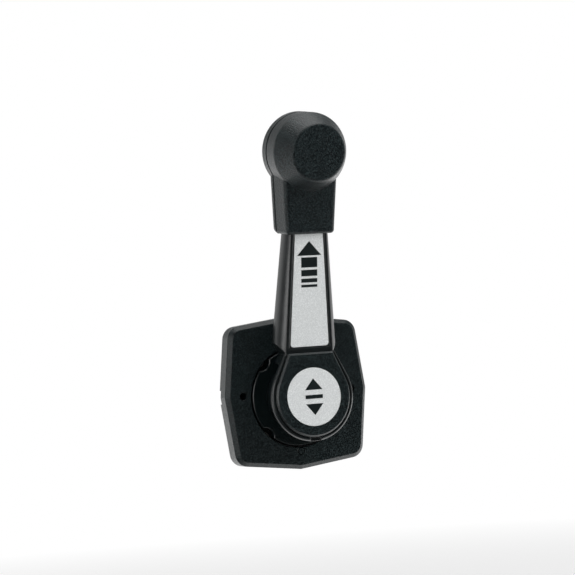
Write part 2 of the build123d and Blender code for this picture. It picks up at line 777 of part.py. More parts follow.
guide_low = (40.0, 47.0)
guide_high = (arm_high - 5.0, arm_high)
channel_low = 34.0
with BuildPart() as lever_arm:
    # Arm, solid, from inside the hub to its top in the grip.
    loft(sections=[arm_profile(arm_low - 9), arm_profile(arm_high)])
    # The arm's foot narrows to the hub's flanks.
    with BuildSketch(at_height(0, pivot_z)):
        add(keyhole(hub_r, arm_half_low + 0.6, arm_low - 2))
        with BuildLine():
            Polyline(
                (arm_half_low - 2, arm_low - 12), (arm_half_low + 0.6, arm_low - 2),
                (arm_half_low + flare_low + 1, arm_low + 8), (arm_half_low + flare_low + 1, 2 * arm_high),
                (-arm_half_low - flare_low - 1, 2 * arm_high), (-arm_half_low - flare_low - 1, arm_low + 8),
                (-arm_half_low - 0.6, arm_low - 2), (2 - arm_half_low, arm_low - 12), close=True,
            )
        make_face()
    extrude(amount=3 * hub_front, mode=Mode.INTERSECT)
    # Hollow back between the guides for the lock rod.
    loft(
        sections=[arm_profile(channel_low, arm_wall), arm_profile(guide_high[0], arm_wall)],
        mode=Mode.SUBTRACT,
    )
    with BuildSketch(lean_plane(-arm_wall + touch)):
        with Locations((0, (guide_low[0] + guide_low[1]) / 2)):
            Rectangle(2 * arm_half_low, guide_low[1] - guide_low[0])
    extrude(amount=arm_wall - between(arm_depth_low, arm_depth_high, guide_low[1]))
    # Hub disc and the collar behind it.
    add(hub_disc)
    with BuildSketch(at_height(flange_front + parting_gap, pivot_z)):
        Circle(collar_r)
    extrude(amount=hub_back - flange_front - parting_gap)
    with BuildSketch(at_height(flange_front, pivot_z)):
        Circle(sleeve_r + 0.4)
    extrude(amount=sleeve_front + parting_gap - flange_front, mode=Mode.SUBTRACT)
    with BuildSketch(at_height(flange_front, pivot_z)):
        Rectangle(shaft_square, shaft_square)
    extrude(amount=web_front - flange_front, mode=Mode.SUBTRACT)
    with BuildSketch(at_height(web_front, pivot_z)):
        Circle(hub_recess_r)
    extrude(amount=hub_front, mode=Mode.SUBTRACT)
    # Label pocket in the front.
    with BuildSketch(lean_plane(-label_thickness)):
        with BuildLine():
            Polyline(
                (label_half_low + label_gap, label_low - label_gap),
                (label_half_high + label_gap, label_high + label_gap),
                (-label_half_high - label_gap, label_high + label_gap),
                (-label_half_low - label_gap, label_low - label_gap),
                close=True,
            )
        make_face()
    extrude(amount=2 * hub_rim, mode=Mode.SUBTRACT)
    # Bore for the lock rod, right down through the collar's wall.
    with BuildSketch(arm_section(rod_low - 6)):
        with Locations((0, rod_depth)):
            Circle(rod_r + slip)
    extrude(amount=arm_high, mode=Mode.SUBTRACT)
finish(lever_arm, "lever_arm")

# Arm label: the plain metal strip in the pocket.
with BuildPart() as arm_label:
    with BuildSketch(lean_plane(-label_thickness)) as label_face:
        with BuildLine():
            Polyline(
                (label_half_low, label_low), (label_half_high, label_high),
                (-label_half_high, label_high), (-label_half_low, label_low), close=True,
            )
        make_face()
        fillet(label_face.vertices().group_by(Axis.Y)[0], 2.0)
    extrude(amount=label_thickness)
finish(arm_label, "arm_label")

# Hub cover: the bevelled keyhole plate with a shallow seat for the disc.
plate_front = hub_front + cover_plate_thickness
with BuildPart() as hub_cover:
    with BuildSketch(at_height(hub_front, pivot_z)):
        add(keyhole(cover_plate_r, cover_plate_half_top, cover_plate_top))
    extrude(amount=cover_plate_thickness)
    chamfer(hub_cover.faces().sort_by(Axis.Y)[0].edges(), length=cover_plate_bevel)
    with BuildSketch(at_height(plate_front, pivot_z)):
        Circle(emblem_r + slip)
    extrude(amount=-emblem_recess, mode=Mode.SUBTRACT)
finish(hub_cover, "hub_cover")

with BuildPart() as emblem_disc:
    with BuildSketch(at_height(plate_front - emblem_recess, pivot_z)):
        Circle(emblem_r)
    extrude(amount=emblem_thickness)
finish(emblem_disc, "emblem_disc")

# Hub bolt and washer: they draw the lever on to the main shaft, under the hub cover.
with BuildPart() as hub_washer:
    with BuildSketch(at_height(web_front, pivot_z)):
        Circle(3 * hub_bolt_r)
        Circle(hub_bolt_r + slip, mode=Mode.SUBTRACT)
    extrude(amount=hub_washer_thickness)
finish(hub_washer, "hub_washer")

with BuildPart() as hub_bolt:
    with BuildSketch(at_height(web_front + hub_washer_thickness, pivot_z)):
        RegularPolygon(5.8, 6)
    extrude(amount=hub_front - web_front - hub_washer_thickness - slip)
    with BuildSketch(at_height(web_front + hub_washer_thickness, pivot_z)):
        Circle(hub_bolt_r)
    extrude(amount=-15.0)
finish(hub_bolt, "hub_bolt")


# ---------------------------------------------------------------- grip
def grip_outline(knob_inset, neck_inset, low):
    """The grip's widest outline: the knob's circle and the neck that meets it."""
    half_low = neck_half_low + neck_flare - neck_inset
    half_high = neck_half_high + neck_flare - neck_inset
    with BuildSketch() as outline:
        with Locations((0, knob_centre)):
            Circle(knob_r - knob_inset)
        with BuildLine():
            Polyline(
                (half_low, low), (half_high, neck_top), (0, knob_centre),
                (-half_high, neck_top), (-half_low, low), close=True,
            )
        make_face()
        fillet(outline.vertices().group_by(Axis.Y)[0], neck_foot_r)
    return outline.sketch


def grip_neck_section(along, height_front, height_back, inset):
    """The neck's section: flanks that open towards the parting line."""
    share = (along - neck_low) / (neck_top - neck_low)
    half = neck_half_low + (neck_half_high - neck_half_low) * share - inset
    wide = half + neck_flare
    with BuildSketch(arm_section(along)) as section:
        with BuildLine():
            Polyline(
                (-half, -height_front), (half, -height_front), (wide, height_back),
                (-wide, height_back), close=True,
            )
        make_face()
        if height_front > 0:
            fillet(section.vertices().filter_by(lambda v: v.Y < 0), neck_edge_round - 1.2 * inset)
    return section.sketch


pin_along = (clamp_low + rod_high) / 2
pin_centre = arm_section(pin_along).from_local_coords((0, rod_depth, 0))
pin_place = (pin_centre.Y, pin_centre.Z)
knob_heart = lean_plane(0, knob_centre)
knob_plane = Plane(origin=knob_heart.origin, x_dir=(1, 0, 0), z_dir=(0, lean_sin, -lean_cos))
knob_axis = Axis(knob_heart.origin, knob_heart.z_dir)


def knob_front_profile(inset):
    """Half of the knob's front, from the parting plane: wall, sloping shoulder and flat."""
    with BuildSketch() as profile:
        with BuildLine():
            Polyline(
                (0, -knob_parting), (knob_r - inset, -knob_parting), (knob_r - inset, knob_wall_front),
                (knob_flat_r - inset, knob_flat - inset), (0, knob_flat - inset), close=True,
            )
        make_face()
        fillet(profile.vertices().group_by(Axis.X)[-1].sort_by(Axis.Y)[-1], knob_shoulder_round)
        fillet(profile.vertices().group_by(Axis.Y)[-1].sort_by(Axis.X)[-1], knob_flat_round)
    return profile.sketch


# Neck of the front shell, with its edges rounded down to its foot.
with BuildPart() as grip_neck:
    loft(
        sections=[
            grip_neck_section(neck_low, neck_front, knob_parting, 0),
            grip_neck_section(neck_top, neck_front, knob_parting, 0),
        ]
    )
    foot = grip_neck.faces().sort_by(Axis.Z)[0].edges()
    fillet(foot.filter_by(lambda e: e.center().Y < foot.sort_by(Axis.Y)[-1].center().Y - 1), neck_end_round)

with BuildPart() as grip_front_shell:
    with BuildSketch(knob_plane):
        add(knob_front_profile(0))
    revolve(axis=knob_axis)
    add(grip_neck)
    # Hollow knob and hollow neck.
    with BuildSketch(knob_plane):
        add(knob_front_profile(grip_wall))
    revolve(axis=knob_axis, mode=Mode.SUBTRACT)
    loft(
        sections=[
            grip_neck_section(neck_low - 1, parting_gap + slip, knob_parting + touch, neck_wall),
            grip_neck_section(neck_top + 4, parting_gap + slip, knob_parting + touch, neck_wall),
        ],
        mode=Mode.SUBTRACT,
    )
    # Screw columns and the block that holds the lock rod.
    with BuildSketch(lean_plane(-knob_parting)):
        with Locations(*grip_screw_places):
            Circle(screw_column_r)
    extrude(amount=knob_parting + knob_flat - grip_wall / 2)
    with BuildSketch(lean_plane(-knob_parting)):
        with Locations((0, (clamp_low + rod_high) / 2)):
            Rectangle(2 * clamp_half, rod_high - clamp_low)
    extrude(amount=knob_parting + parting_gap + slip)
    with BuildSketch(lean_plane(-knob_parting)):
        with Locations(*grip_screw_places):
            Circle(grip_screw_r)
    extrude(amount=knob_parting - parting_gap, mode=Mode.SUBTRACT)
    with BuildSketch(arm_section(neck_low)):
        with Locations((0, rod_depth)):
            Circle(rod_r)
    extrude(amount=rod_high - neck_low, mode=Mode.SUBTRACT)
    with BuildSketch(Plane.YZ.offset(slip - clamp_half)):
        with Locations(pin_place):
            Circle(rod_pin_r)
    extrude(amount=2 * (clamp_half - slip), mode=Mode.SUBTRACT)
finish(grip_front_shell, "grip_front_shell")

# The knob's round back stands a little behind the neck's.
with BuildPart() as knob_disc:
    with BuildSketch(lean_plane(-knob_parting)):
        with Locations((0, knob_centre)):
            Circle(knob_r)
    extrude(amount=knob_parting - knob_back)
    fillet(knob_disc.faces().sort_by(Axis.Y)[-1].edges(), knob_back_round)

with BuildPart() as grip_rear_shell:
    with BuildSketch(lean_plane(-knob_parting)):
        outer = add(grip_outline(0, 0, neck_low))
        joins = outer.vertices().filter_by(lambda v: neck_top - 15 < v.Y < knob_centre - 5)
        fillet(joins, neck_blend_r)
    extrude(amount=knob_parting - neck_back)
    fillet(grip_rear_shell.faces().sort_by(Axis.Y)[-1].edges(), knob_back_round)
    add(knob_disc)
    # Seam at the parting line.
    with BuildSketch(lean_plane(-knob_parting)):
        add(grip_outline(-seam_depth, -seam_depth, neck_low - seam_depth))
        add(grip_outline(seam_depth, seam_depth, neck_low + seam_depth), mode=Mode.SUBTRACT)
    extrude(amount=-seam_width, mode=Mode.SUBTRACT)
    with BuildSketch(lean_plane(-knob_parting)):
        add(grip_outline(grip_wall, neck_wall, neck_low - 8))
    extrude(amount=knob_parting + grip_wall - neck_back, mode=Mode.SUBTRACT)
    with BuildSketch(lean_plane(-knob_parting)):
        with Locations((0, knob_centre)):
            Circle(knob_r - grip_wall)
    extrude(amount=knob_parting + grip_wall - knob_back, mode=Mode.SUBTRACT)
    with BuildSketch(lean_plane(grip_wall - knob_back)):
        with Locations(*grip_screw_places):
            Circle(screw_column_r)
    extrude(amount=knob_back - grip_wall - knob_parting)
    with BuildSketch(lean_plane(-knob_back)):
        with Locations(*grip_screw_places):
            Circle(grip_screw_r)
    extrude(amount=knob_back, mode=Mode.SUBTRACT)
    with BuildSketch(lean_plane(-knob_back)):
        with Locations(*grip_screw_places):
            Circle(grip_screw_head_r + slip)
    extrude(amount=grip_screw_head, mode=Mode.SUBTRACT)
finish(grip_rear_shell, "grip_rear_shell")

# Grip screws: from the back, through the rear shell into the front shell's columns.
with BuildPart() as grip_screws:
    with BuildSketch(lean_plane(-knob_back)):
        with Locations(*grip_screw_places):
            Circle(grip_screw_head_r)
    extrude(amount=grip_screw_head)
    with BuildSketch(lean_plane(-knob_back)):
        with Locations(*grip_screw_places):
            Circle(grip_screw_r)
    extrude(amount=knob_back - parting_gap)
finish(grip_screws, "grip_screws")

# Lock rod: pinned in the grip, it slides in the arm; its foot stands over the sleeve's notch.
spring_low = guide_high[0] - parting_gap - spring_length
with BuildPart() as lock_rod:
    with BuildSketch(arm_section(rod_low)):
        with Locations((0, rod_depth)):
            Circle(rod_r)
    extrude(amount=rod_high - rod_low)
    with BuildSketch(arm_section(spring_low - parting_gap - rod_collar)):
        with Locations((0, rod_depth)):
            Circle(rod_collar_r)
    extrude(amount=rod_collar)
    with BuildSketch(Plane.YZ.offset(-clamp_half)):
        with Locations(pin_place):
            Circle(rod_pin_r)
    extrude(amount=2 * clamp_half, mode=Mode.SUBTRACT)
finish(lock_rod, "lock_rod")

with BuildPart() as rod_pin:
    with BuildSketch(Plane.YZ.offset(slip - clamp_half)):
        with Locations(pin_place):
            Circle(rod_pin_r)
    extrude(amount=2 * (clamp_half - slip))
finish(rod_pin, "rod_pin")

# Grip spring: from the rod's collar up to the arm's top guide, so that it draws the grip down.
coil(
    "grip_spring",
    arm_section(spring_low).from_local_coords((0, rod_depth, spring_wire_r)),
    arm_section(spring_low).z_dir,
    rod_r + 0.25 + spring_wire_r, spring_wire_r, spring_turns, spring_length - 2 * spring_wire_r,
)
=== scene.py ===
import math
import bmesh
import bpy
from mathutils import Matrix, Vector


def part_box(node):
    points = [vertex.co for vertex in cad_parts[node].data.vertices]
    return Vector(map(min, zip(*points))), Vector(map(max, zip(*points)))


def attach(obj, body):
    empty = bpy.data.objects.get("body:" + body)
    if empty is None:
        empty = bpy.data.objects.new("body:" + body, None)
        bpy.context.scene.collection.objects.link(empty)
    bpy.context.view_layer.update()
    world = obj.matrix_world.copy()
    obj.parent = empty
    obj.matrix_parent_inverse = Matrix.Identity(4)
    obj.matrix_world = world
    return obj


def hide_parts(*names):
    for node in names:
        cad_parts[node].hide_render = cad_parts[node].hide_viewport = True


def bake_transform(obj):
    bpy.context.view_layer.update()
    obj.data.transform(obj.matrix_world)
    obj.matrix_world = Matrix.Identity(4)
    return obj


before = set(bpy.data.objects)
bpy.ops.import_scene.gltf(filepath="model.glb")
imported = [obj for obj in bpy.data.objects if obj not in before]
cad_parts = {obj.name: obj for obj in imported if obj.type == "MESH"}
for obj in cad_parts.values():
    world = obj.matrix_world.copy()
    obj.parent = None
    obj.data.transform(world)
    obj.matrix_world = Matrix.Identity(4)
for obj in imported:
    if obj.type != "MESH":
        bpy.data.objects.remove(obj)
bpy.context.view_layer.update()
mm = 0.001

# Camera: a long lens, level with the hub and well round to the lever's left, turned a
# little on its own axis.
yaw, pitch, roll = (math.radians(angle) for angle in (-23.43, -1.37, -3.86))
look_at = Vector((3.15, 0.0, 70.3)) * mm
camera_distance = 1498 * mm
frame_pixels, lens_pixels = 575, 2231.93
bpy.ops.object.camera_add()
camera = bpy.context.object
camera.data.sensor_width = 36.0
camera.data.lens = camera.data.sensor_width * lens_pixels / frame_pixels
toward = Vector((math.sin(yaw) * math.cos(pitch), -math.cos(yaw) * math.cos(pitch), math.sin(pitch)))
level = Vector((math.cos(yaw), math.sin(yaw), 0.0))
upright = toward.cross(level)
side = math.cos(roll) * level + math.sin(roll) * upright
top = math.cos(roll) * upright - math.sin(roll) * level
camera.matrix_world = (
    Matrix.Translation(look_at + camera_distance * toward)
    @ Matrix((side, top, toward)).transposed().to_4x4()
)
bpy.context.scene.camera = camera
bpy.context.scene.view_settings.view_transform = "Standard"


# Studio sweep: a white paper sweep behind and around. What gloss sees of it is dark on the
# camera's own side and dimmer high up behind, and a direct look at it is plain white.
def wire(tree, kind, **values):
    """Adds a node to a tree and sets the named inputs that are numbers, colours or sockets."""
    added = tree.nodes.new(kind)
    for label, value in values.items():
        socket = added.inputs[label.replace("_", " ")]
        if isinstance(value, bpy.types.NodeSocket):
            tree.links.new(value, socket)
        else:
            socket.default_value = value
    return added


def maths(tree, operation, first, second):
    """One sum on two values."""
    added = tree.nodes.new("ShaderNodeMath")
    added.operation = operation
    for socket, value in zip(added.inputs, (first, second)):
        if isinstance(value, bpy.types.NodeSocket):
            tree.links.new(value, socket)
        else:
            socket.default_value = value
    return added.outputs[0]


def fade(tree, value, start, end, at_start, at_end):
    """A smooth change from one level to another while a value goes from its start to its end."""
    added = wire(tree, "ShaderNodeMapRange", Value=value, From_Min=start, From_Max=end,
                 To_Min=at_start, To_Max=at_end)
    added.interpolation_type = "SMOOTHSTEP"
    return added.outputs[0]


room_light = 0.66
dark_side, light_side = 0.05, 1.0
side_start, side_end = -0.25, 0.9  # from the camera's side round to the far side
low_behind, high_behind = 1.0, 0.35
rise_start, rise_end = 0.1, 0.5
world = bpy.data.worlds.new("studio")
bpy.context.scene.world = world
world.use_nodes = True
tree = world.node_tree
tree.nodes.clear()
place = wire(tree, "ShaderNodeTexCoord")
split = wire(tree, "ShaderNodeSeparateXYZ", Vector=place.outputs["Generated"])
behind = fade(tree, split.outputs["Y"], side_start, side_end, dark_side, light_side)
above = fade(tree, split.outputs["Z"], rise_start, rise_end, low_behind, high_behind)
sweep = maths(tree, "MULTIPLY", behind, above)
ray = wire(tree, "ShaderNodeLightPath")
mirrored = maths(tree, "MAXIMUM", ray.outputs["Is Glossy Ray"], ray.outputs["Is Transmission Ray"])
indirect = wire(tree, "ShaderNodeMix", Factor=mirrored, A=room_light, B=sweep)
strength = wire(tree, "ShaderNodeMix", Factor=ray.outputs["Is Camera Ray"], A=indirect.outputs[0], B=1.0)
glow = wire(tree, "ShaderNodeBackground", Color=(1, 1, 1, 1), Strength=strength.outputs[0])
wire(tree, "ShaderNodeOutputWorld", Surface=glow.outputs[0])


# Floor: pale paper well below the control, which is held up as if on its panel. It melts
# into the white sweep far out, and gloss sees it dark in front and bright behind.
def mix_shaders(tree, share, first, second):
    """A mix of two shaders, all its inputs sockets."""
    added = tree.nodes.new("ShaderNodeMixShader")
    for socket, value in zip(added.inputs, (share, first, second)):
        tree.links.new(value, socket)
    return added.outputs[0]


floor_drop, floor_size = 300 * mm, 14.0
melt_start, melt_end = 1.2, 2.4
floor_glare = 1.8
away_from_camera = (0.5, 1.0, 0.0)
glare_start, glare_end = -0.25, 0.15
bpy.ops.object.select_all(action="DESELECT")
bpy.ops.mesh.primitive_plane_add(size=floor_size, location=(0, 0, -floor_drop))
floor = bpy.context.object
floor.name = "studio_floor"
bpy.ops.object.transform_apply(location=True, rotation=True, scale=True)
paper = bpy.data.materials.new("floor_paper")
paper.use_nodes = True
tree = paper.node_tree
matt = tree.nodes["Principled BSDF"]
matt.inputs["Base Color"].default_value = (0.86, 0.86, 0.86, 1)
matt.inputs["Roughness"].default_value = 0.7
place = wire(tree, "ShaderNodeTexCoord")
reach = wire(tree, "ShaderNodeVectorMath", Vector=place.outputs["Object"])
reach.operation = "LENGTH"
melt = wire(tree, "ShaderNodeMapRange", Value=reach.outputs["Value"], From_Min=melt_start, From_Max=melt_end)
ray = wire(tree, "ShaderNodeLightPath")
melted = maths(tree, "MULTIPLY", ray.outputs["Is Camera Ray"], melt.outputs[0])
white = wire(tree, "ShaderNodeEmission")
plain = mix_shaders(tree, melted, matt.outputs[0], white.outputs[0])
away = wire(tree, "ShaderNodeVectorMath", Vector=place.outputs["Object"])
away.operation = "DOT_PRODUCT"
away.inputs[1].default_value = away_from_camera
glare = fade(tree, away.outputs["Value"], glare_start, glare_end, dark_side, floor_glare)
reflected = wire(tree, "ShaderNodeEmission", Strength=glare)
surface = mix_shaders(tree, ray.outputs["Is Glossy Ray"], plain, reflected.outputs[0])
tree.links.new(surface, tree.nodes["Material Output"].inputs["Surface"])
floor.data.materials.append(paper)


# Lamps: a key box from the right front that gloss doesn't see, a low strip box that edges
# the left sides, and a wide box overhead.
def soft_lamp(name, spot, aim, width, height, watts):
    """One soft box: a flat rectangle of light that faces the point it is aimed at."""
    bpy.ops.object.light_add(type="AREA", location=spot)
    lamp = bpy.context.object
    lamp.name = name
    lamp.data.shape = "RECTANGLE"
    lamp.data.size, lamp.data.size_y = width, height
    lamp.data.energy = watts
    lamp.rotation_euler = (Vector(aim) - Vector(spot)).to_track_quat("-Z", "Y").to_euler()
    return lamp


key_lamp = soft_lamp("key_lamp", (1.3, -1.1, 1.2), (0, 0, 0.06), 1.2, 1.2, 24)
key_lamp.visible_glossy = False
soft_lamp("strip_lamp", (-1.2, -0.62, 0.12), (0, 0, 0.08), 0.5, 1.2, 5.5)
soft_lamp("top_lamp", (0.1, 0.0, 1.35), (0, 0, 0.06), 1.6, 1.2, 14)


# Panel gasket: a sheet of black rubber, cut out round the gear case and pressed between the
# base and the panel to keep water out.
def effect(name, numbers, outputs=("Mask", "Height")):
    """An empty effect group with its named numbers going in, and masks and heights coming out."""
    group = bpy.data.node_groups.new(name, "ShaderNodeTree")
    for label, value in numbers.items():
        socket = group.interface.new_socket(label, in_out="INPUT", socket_type="NodeSocketFloat")
        socket.default_value = value
    for label in outputs:
        group.interface.new_socket(label, in_out="OUTPUT", socket_type="NodeSocketFloat")
    return group, group.nodes.new("NodeGroupInput"), group.nodes.new("NodeGroupOutput")


# The fine sparked texture that a mould leaves, with slow cloudy changes of sheen. The grain
# is turned askew, so that it follows none of the object's flat faces.
askew = (0.61, 0.47, 0.35)
mask_start, mask_end = 0.44, 0.64
grain, into, out = effect("mould_grain", {"Grain": 1500.0, "Cloud": 45.0, "Share": 0.6})
place = wire(grain, "ShaderNodeTexCoord")
turned = wire(grain, "ShaderNodeMapping", Vector=place.outputs["Object"], Rotation=askew)
fine = wire(grain, "ShaderNodeTexNoise", Vector=turned.outputs[0], Scale=into.outputs["Grain"], Detail=2.0)
cloud = wire(grain, "ShaderNodeTexNoise", Vector=place.outputs["Object"], Scale=into.outputs["Cloud"],
             Detail=4.0)
both = wire(grain, "ShaderNodeMix", Factor=into.outputs["Share"], A=cloud.outputs[0], B=fine.outputs[0])
spread = wire(grain, "ShaderNodeMapRange", Value=both.outputs[0], From_Min=mask_start, From_Max=mask_end)
grain.links.new(spread.outputs[0], out.inputs["Mask"])
grain.links.new(fine.outputs[0], out.inputs["Height"])


def finish(name, group, dark, light, rough, lift, metallic=0.0, edge=0.3, specular=0.5, **numbers):
    """A finish: the group's mask runs its colour and its roughness, and its height lifts it.

    The lift and the rounding of the edges are in millimetres.
    """
    made = bpy.data.materials.new(name)
    made.use_nodes = True
    tree = made.node_tree
    skin = tree.nodes["Principled BSDF"]
    skin.inputs["Metallic"].default_value = metallic
    skin.inputs["Specular IOR Level"].default_value = specular
    pattern = tree.nodes.new("ShaderNodeGroup")
    pattern.node_tree = group
    for label, value in numbers.items():
        pattern.inputs[label].default_value = value
    tint = tree.nodes.new("ShaderNodeMix")
    tint.data_type = "RGBA"
    tint.inputs[6].default_value = (*dark, 1)
    tint.inputs[7].default_value = (*light, 1)
    tree.links.new(pattern.outputs["Mask"], tint.inputs[0])
    tree.links.new(tint.outputs[2], skin.inputs["Base Color"])
    sheen = wire(tree, "ShaderNodeMapRange", Value=pattern.outputs["Mask"], To_Min=rough[0], To_Max=rough[1])
    tree.links.new(sheen.outputs[0], skin.inputs["Roughness"])
    rounded = wire(tree, "ShaderNodeBevel", Radius=edge * mm)
    rounded.samples = 8
    lifted = wire(tree, "ShaderNodeBump", Strength=1.0, Distance=lift * mm, Height=pattern.outputs["Height"],
                  Normal=rounded.outputs[0])
    tree.links.new(lifted.outputs[0], skin.inputs["Normal"])
    return made


def dress(material, *names):
    """Gives CAD nodes a finish through their own material slots."""
    for name in names:
        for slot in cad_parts[name].material_slots:
            slot.material = material


rubber = finish("gasket_rubber", grain, dark=(0.008, 0.009, 0.009), light=(0.02, 0.021, 0.021),
                rough=(0.75, 0.9), lift=0.03, Grain=900.0, Cloud=120.0)
dress(rubber, "panel_gasket")


# Gasket skins: thin dished discs of the same rubber, left in the gasket's four screw holes.
# They close the empty holes until the mounting screws are driven through them.
def pick_faces(piece, way):
    """Selects the faces of a piece in edit mode that look up (1) or down (-1)."""
    straight = 0.9
    sheet = bmesh.from_edit_mesh(piece.data)
    for face in sheet.faces:
        face.select_set(way * face.normal.z > straight)
    bmesh.update_edit_mesh(piece.data)


def set_in_place(piece, matrix):
    """Moves a piece from the bench, where it was made flat, to its place, and fixes it there."""
    piece.matrix_world = matrix @ piece.matrix_world
    bpy.ops.object.select_all(action="DESELECT")
    piece.select_set(True)
    bpy.context.view_layer.objects.active = piece
    bpy.ops.object.transform_apply(location=True, rotation=True, scale=True)


def join_as(name, pieces):
    """Makes one object of several, under one name."""
    bpy.ops.object.select_all(action="DESELECT")
    for piece in pieces:
        piece.select_set(True)
    bpy.context.view_layer.objects.active = pieces[0]
    if len(pieces) > 1:
        bpy.ops.object.join()
    pieces[0].name = name
    pieces[0].data.name = name
    return pieces[0]


def set_out(piece, places):
    """Copies of one piece from the bench at their places, each with its own mesh."""
    copies = []
    for place in places:
        copy = piece.copy()
        copy.data = piece.data.copy()
        bpy.context.collection.objects.link(copy)
        set_in_place(copy, place)
        copies.append(copy)
    bpy.data.objects.remove(piece, do_unlink=True)
    return copies


def hole_disc(thick, front, rim, slope, rise):
    """A disc that fits a screw hole: inside a flat rim and a slope, its middle is raised."""
    bpy.ops.object.select_all(action="DESELECT")
    bpy.ops.mesh.primitive_cylinder_add(vertices=32, radius=hole_disc_r, depth=thick,
                                        location=(0, 0, front - thick / 2))
    disc = bpy.context.object
    bpy.ops.object.mode_set(mode="EDIT")
    pick_faces(disc, 1)
    bpy.ops.mesh.inset(thickness=rim)
    bpy.ops.mesh.inset(thickness=slope)
    bpy.ops.transform.translate(value=(0, 0, rise))
    bpy.ops.object.mode_set(mode="OBJECT")
    return disc


hole_circle_r, hole_disc_r = 39.0 * mm, 2.58 * mm
skin_thick, skin_front = 0.3 * mm, 0.55 * mm
skin_rim, skin_slope, skin_dish = 0.5 * mm, 0.3 * mm, 0.12 * mm
facing_out = Matrix.Rotation(math.pi / 2, 4, "X")
right_hole, top_hole, left_hole, bottom_hole = (
    Matrix.Translation((hole_circle_r * math.cos(angle), 0, hole_circle_r * math.sin(angle))) @ facing_out
    for angle in (0, math.pi / 2, math.pi, 3 * math.pi / 2)
)
skin = hole_disc(skin_thick, skin_front, skin_rim, skin_slope, -skin_dish)
gasket_skins = join_as("gasket_skins", set_out(skin, (right_hole, top_hole, left_hole, bottom_hole)))
gasket_skins.data.materials.append(rubber)
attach(gasket_skins, "base")

# Mounting base, gear case and rear cover: grey aluminium die castings with a rough cast
# skin. The case and its cover are screwed to the back of the base.
pit_share, cloud_share = 0.4, 0.6
cast, into, out = effect("cast_skin", {"Pits": 700.0, "Cloud": 60.0})
place = wire(cast, "ShaderNodeTexCoord")
pits = wire(cast, "ShaderNodeTexVoronoi", Vector=place.outputs["Object"], Scale=into.outputs["Pits"])
cloud = wire(cast, "ShaderNodeTexNoise", Vector=place.outputs["Object"], Scale=into.outputs["Cloud"],
             Detail=5.0)
rough_skin = maths(cast, "ADD", maths(cast, "MULTIPLY", pits.outputs["Distance"], pit_share),
                   maths(cast, "MULTIPLY", cloud.outputs[0], cloud_share))
cast.links.new(rough_skin, out.inputs["Mask"])
cast.links.new(rough_skin, out.inputs["Height"])
casting = finish("cast_aluminium", cast, dark=(0.10, 0.10, 0.105), light=(0.26, 0.26, 0.27),
                 rough=(0.45, 0.62), lift=0.12, metallic=0.85)
dress(casting, "mounting_base", "gear_case", "rear_cover")

# Case screws: four zinc-plated pan heads with a cross recess, driven in from the back
# through the rear cover and the case into the base.
recess_top = Vector((0.62, 0.12))  # half length and half width, of the head's radius
recess_foot = Vector((0.279, 0.0768))
recess_above, recess_floor = 1.1, 0.32  # of the head's height
head_round = 0.42
point_inset, point_long = 0.3, 0.35  # of the shank's radius
plated = finish("zinc_plate", cast, dark=(0.30, 0.30, 0.29), light=(0.50, 0.50, 0.48), rough=(0.24, 0.4),
                lift=0.01, metallic=1.0, edge=0.2, Pits=1800.0, Cloud=150.0)


def recessed_screw(head_r, head_high, shank_r, shank_long):
    """A screw on the bench, its head up: a turned blank whose top gets a tapered cross recess."""
    bpy.ops.object.select_all(action="DESELECT")
    bpy.ops.mesh.primitive_cylinder_add(vertices=36, radius=head_r, depth=head_high,
                                        location=(0, 0, head_high / 2))
    blank = bpy.context.object
    bpy.ops.object.mode_set(mode="EDIT")
    pick_faces(blank, -1)
    bpy.ops.mesh.inset(thickness=head_r - shank_r)
    bpy.ops.mesh.extrude_region_move(TRANSFORM_OT_translate={"value": (0, 0, -shank_long)})
    bpy.ops.mesh.inset(thickness=shank_r * point_inset)
    bpy.ops.transform.translate(value=(0, 0, -shank_r * point_long))
    bpy.ops.mesh.select_all(action="DESELECT")
    metal = bmesh.from_edit_mesh(blank.data)
    for edge in metal.edges:
        edge.select_set(all(abs(end.co.z - head_high) < 0.01 * mm for end in edge.verts))
    bmesh.update_edit_mesh(blank.data)
    bpy.ops.mesh.bevel(offset=head_high * head_round, segments=4, affect="EDGES")
    bpy.ops.object.mode_set(mode="OBJECT")
    arms = []
    for turn in (0.0, math.pi / 2):
        bpy.ops.object.select_all(action="DESELECT")
        bpy.ops.mesh.primitive_cube_add(size=2, location=(0, 0, 0))
        arm = bpy.context.object
        bpy.ops.object.mode_set(mode="EDIT")
        bit = bmesh.from_edit_mesh(arm.data)
        for corner in bit.verts:
            upper = corner.co.z > 0
            half_long, half_wide = (recess_top if upper else recess_foot) * head_r
            height = head_high * (recess_above if upper else recess_floor)
            corner.co = (math.copysign(half_long, corner.co.x), math.copysign(half_wide, corner.co.y), height)
        bmesh.update_edit_mesh(arm.data)
        bpy.ops.mesh.select_all(action="SELECT")
        bpy.ops.mesh.normals_make_consistent(inside=False)
        bpy.ops.object.mode_set(mode="OBJECT")
        arm.matrix_world = Matrix.Rotation(turn, 4, "Z")
        arms.append(arm)
    for arm in arms:
        cut = blank.modifiers.new("recess", "BOOLEAN")
        cut.operation = "DIFFERENCE"
        cut.solver = "EXACT"
        cut.object = arm
        bpy.context.view_layer.objects.active = blank
        bpy.ops.object.modifier_apply(modifier=cut.name)
    for arm in arms:
        bpy.data.objects.remove(arm, do_unlink=True)
    bpy.ops.object.select_all(action="DESELECT")
    blank.select_set(True)
    bpy.context.view_layer.objects.active = blank
    bpy.ops.object.shade_smooth_by_angle(angle=math.radians(35))
    return blank


def screw_set(name, screw, places, body):
    """Copies of one screw at their places, as one piece that stands for the plain ones."""
    made = join_as(name + "_recessed", set_out(screw, places))
    made.data.materials.clear()
    made.data.materials.append(plated)
    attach(made, body)
    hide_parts(name)


